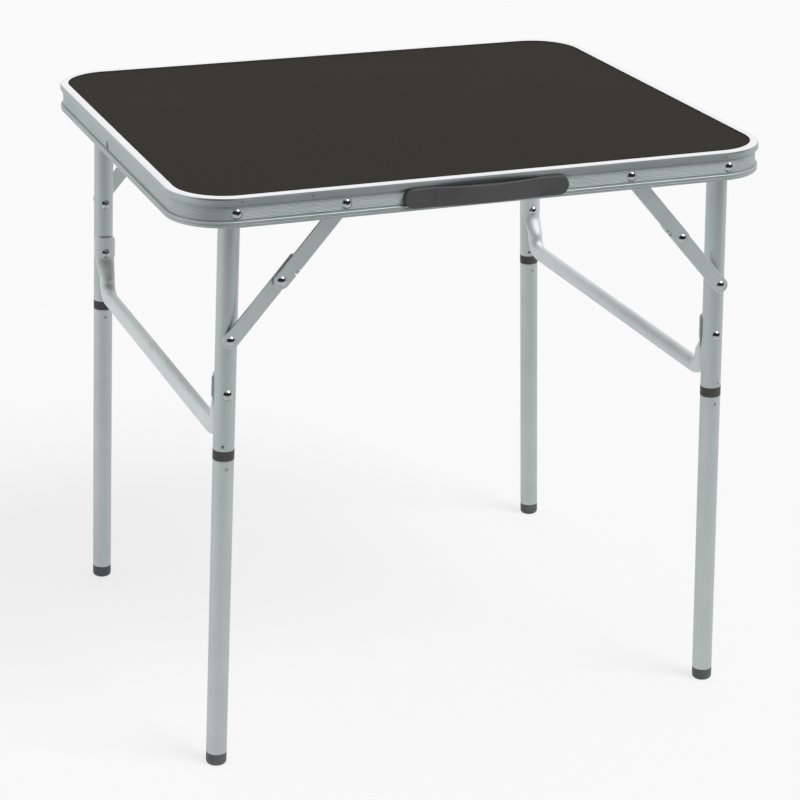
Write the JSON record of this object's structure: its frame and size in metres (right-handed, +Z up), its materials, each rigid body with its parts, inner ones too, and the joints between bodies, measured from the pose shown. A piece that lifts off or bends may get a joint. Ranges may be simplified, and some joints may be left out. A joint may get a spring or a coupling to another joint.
{
  "type": "folding camping table",
  "caption": "Rectangular folding camping table: dark panel in a rounded aluminium rim with a carry handle, hinged leg frames on knuckle struts and screw-on lower legs.",
  "frame": {"origin": "middle of the table's bounding box, on the floor under it", "axes": "+X along the long side, -Y towards the side with the handle, +Z up"},
  "size_m": [0.59, 0.5084, 0.573],
  "materials": {
    "anodised_aluminium": "satin anodised",
    "bright_aluminium": "satin anodised, lighter",
    "strut_aluminium": "rolled flat bar",
    "foot_rubber": "matt slate grey",
    "dark_plastic": "satin moulded",
    "strap_plastic": "flexible, satin",
    "dark_laminate": "dark laminated board",
    "polished_rivet": "polished"
  },
  "bodies": {
    "table": {"handle_cap_left": "dark_plastic", "handle_cap_right": "dark_plastic", "handle_screws": "polished_rivet", "handle_strap": "strap_plastic", "leg_pivot_bushes": "dark_plastic", "leg_pivot_rivets": "polished_rivet", "rim_extrusion": "anodised_aluminium", "rim_joiner": "anodised_aluminium", "rim_joiner_rivets": "polished_rivet", "strut_rim_bushes": "dark_plastic", "strut_rim_rivets": "polished_rivet", "tabletop_panel": "dark_laminate"},
    "left_legs": {"upper_leg_front_left": "anodised_aluminium", "upper_leg_rear_left": "anodised_aluminium", "socket_collar_front_left": "dark_plastic", "socket_collar_rear_left": "dark_plastic", "crossbar_left": "bright_aluminium", "crossbar_rivets_left": "polished_rivet", "strut_leg_rivets_left": "polished_rivet"},
    "right_legs": {"upper_leg_front_right": "anodised_aluminium", "upper_leg_rear_right": "anodised_aluminium", "socket_collar_front_right": "dark_plastic", "socket_collar_rear_right": "dark_plastic", "crossbar_right": "bright_aluminium", "crossbar_rivets_right": "polished_rivet", "strut_leg_rivets_right": "polished_rivet"},
    "lower_leg_front_left": {"lower_leg_front_left": "bright_aluminium", "leg_stud_front_left": "polished_rivet", "foot_front_left": "foot_rubber"},
    "upper_link_front_left": {"strut_upper_front_left": "strut_aluminium", "strut_knee_front_left": "polished_rivet"},
    "lower_link_front_left": {"strut_lower_front_left": "strut_aluminium", "strut_end_front_left": "polished_rivet"},
    "lower_leg_rear_left": {"lower_leg_rear_left": "bright_aluminium", "leg_stud_rear_left": "polished_rivet", "foot_rear_left": "foot_rubber"},
    "upper_link_rear_left": {"strut_upper_rear_left": "strut_aluminium", "strut_knee_rear_left": "polished_rivet"},
    "lower_link_rear_left": {"strut_lower_rear_left": "strut_aluminium", "strut_end_rear_left": "polished_rivet"},
    "lower_leg_front_right": {"lower_leg_front_right": "bright_aluminium", "leg_stud_front_right": "polished_rivet", "foot_front_right": "foot_rubber"},
    "upper_link_front_right": {"strut_upper_front_right": "strut_aluminium", "strut_knee_front_right": "polished_rivet"},
    "lower_link_front_right": {"strut_lower_front_right": "strut_aluminium", "strut_end_front_right": "polished_rivet"},
    "lower_leg_rear_right": {"lower_leg_rear_right": "bright_aluminium", "leg_stud_rear_right": "polished_rivet", "foot_rear_right": "foot_rubber"},
    "upper_link_rear_right": {"strut_upper_rear_right": "strut_aluminium", "strut_knee_rear_right": "polished_rivet"},
    "lower_link_rear_right": {"strut_lower_rear_right": "strut_aluminium", "strut_end_rear_right": "polished_rivet"}
  },
  "joints": [
    {"name": "fold_left", "type": "hinge", "parent": "table", "child": "left_legs", "pos_m": [-0.2434, 0.00425, 0.5576], "axis": [0, 1, 0], "range_deg": [-55, 0]},
    {"name": "fold_right", "type": "hinge", "parent": "table", "child": "right_legs", "pos_m": [0.2434, 0.00425, 0.5576], "axis": [0, 1, 0], "range_deg": [0, 55]},
    {"name": "upper_link_front_left", "type": "hinge", "parent": "table", "child": "upper_link_front_left", "pos_m": [-0.141, -0.23075, 0.5576], "axis": [0, 1, 0], "range_deg": [-87.29, 0]},
    {"name": "knee_front_left", "type": "hinge", "parent": "upper_link_front_left", "child": "lower_link_front_left", "pos_m": [-0.20086, -0.23075, 0.48936], "axis": [0, 1, 0], "range_deg": [0, 127.56]},
    {"name": "unscrew_front_left", "type": "slide", "parent": "left_legs", "child": "lower_leg_front_left", "axis": [-0.0366, 0, -0.9993], "range_m": [0, 0.028]},
    {"name": "upper_link_rear_left", "type": "hinge", "parent": "table", "child": "upper_link_rear_left", "pos_m": [-0.141, 0.23925, 0.5576], "axis": [0, 1, 0], "range_deg": [-87.29, 0]},
    {"name": "knee_rear_left", "type": "hinge", "parent": "upper_link_rear_left", "child": "lower_link_rear_left", "pos_m": [-0.20086, 0.23925, 0.48936], "axis": [0, 1, 0], "range_deg": [0, 127.56]},
    {"name": "unscrew_rear_left", "type": "slide", "parent": "left_legs", "child": "lower_leg_rear_left", "axis": [-0.0366, 0, -0.9993], "range_m": [0, 0.028]},
    {"name": "upper_link_front_right", "type": "hinge", "parent": "table", "child": "upper_link_front_right", "pos_m": [0.141, -0.23075, 0.5576], "axis": [0, 1, 0], "range_deg": [0, 87.29]},
    {"name": "knee_front_right", "type": "hinge", "parent": "upper_link_front_right", "child": "lower_link_front_right", "pos_m": [0.20086, -0.23075, 0.48936], "axis": [0, 1, 0], "range_deg": [-127.56, 0]},
    {"name": "unscrew_front_right", "type": "slide", "parent": "right_legs", "child": "lower_leg_front_right", "axis": [0.0366, 0, -0.9993], "range_m": [0, 0.028]},
    {"name": "upper_link_rear_right", "type": "hinge", "parent": "table", "child": "upper_link_rear_right", "pos_m": [0.141, 0.23925, 0.5576], "axis": [0, 1, 0], "range_deg": [0, 87.29]},
    {"name": "knee_rear_right", "type": "hinge", "parent": "upper_link_rear_right", "child": "lower_link_rear_right", "pos_m": [0.20086, 0.23925, 0.48936], "axis": [0, 1, 0], "range_deg": [-127.56, 0]},
    {"name": "unscrew_rear_right", "type": "slide", "parent": "right_legs", "child": "lower_leg_rear_right", "axis": [0.0366, 0, -0.9993], "range_m": [0, 0.028]}
  ],
  "couplings": [
    {"joint": "upper_link_front_left", "follows": "fold_left", "ratio": 1.5869},
    {"joint": "knee_front_left", "follows": "fold_left", "ratio": -2.3191},
    {"joint": "upper_link_rear_left", "follows": "fold_left", "ratio": 1.5869},
    {"joint": "knee_rear_left", "follows": "fold_left", "ratio": -2.3191},
    {"joint": "upper_link_front_right", "follows": "fold_right", "ratio": 1.5869},
    {"joint": "knee_front_right", "follows": "fold_right", "ratio": -2.3191},
    {"joint": "upper_link_rear_right", "follows": "fold_right", "ratio": 1.5869},
    {"joint": "knee_rear_right", "follows": "fold_right", "ratio": -2.3191}
  ]
}
